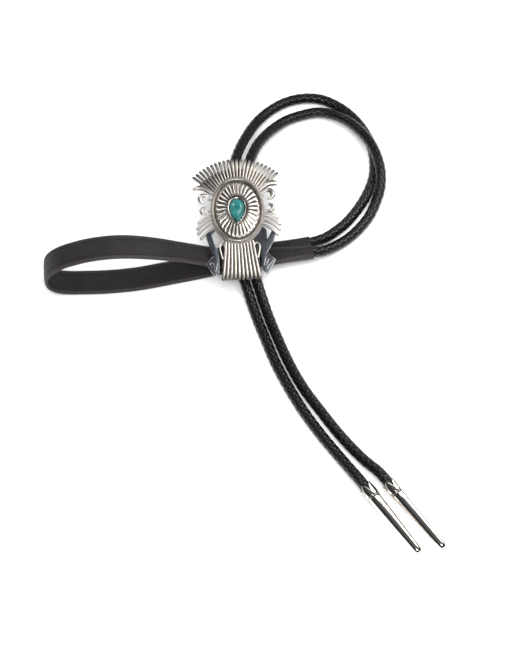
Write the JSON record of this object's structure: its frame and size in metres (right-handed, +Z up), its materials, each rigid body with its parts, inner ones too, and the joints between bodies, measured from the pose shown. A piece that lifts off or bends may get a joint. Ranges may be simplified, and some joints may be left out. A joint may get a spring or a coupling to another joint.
{
  "type": "bolo tie",
  "caption": "Bolo tie: a flat leather neck strap running into braided cords with silver tips, and a fluted silver slide ornament set with a pear-shaped turquoise stone.",
  "frame": {"origin": "on the surface that the bolo tie lies on, below the middle of the neck strap and slide ornament taken together, leaving out the free cords and their tips", "axes": "+X along the neck strap from its fold towards the cords, +Y towards the ornament's crest, +Z up from the surface"},
  "size_m": [0.2181, 0.2881, 0.0384],
  "materials": {
    "strap_leather": "dark brown-black smooth leather with a low sheen, edges turned and stitched",
    "cord_leather": "black braided leather lace with a waxed sheen",
    "tip_silver": "polished silver, darkened in the grooves",
    "ornament_silver": "oxidised silver with bright worn ridges",
    "turquoise": "polished turquoise with fine dark flecks",
    "slide_metal": "plain dull metal"
  },
  "bodies": {
    "root": {"neck_strap": "strap_leather", "cord_left": "cord_leather", "cord_right": "cord_leather", "tip_left": "tip_silver", "tip_right": "tip_silver", "ornament": "ornament_silver", "stone": "turquoise", "cord_slide": "slide_metal"}
  },
  "joints": []
}
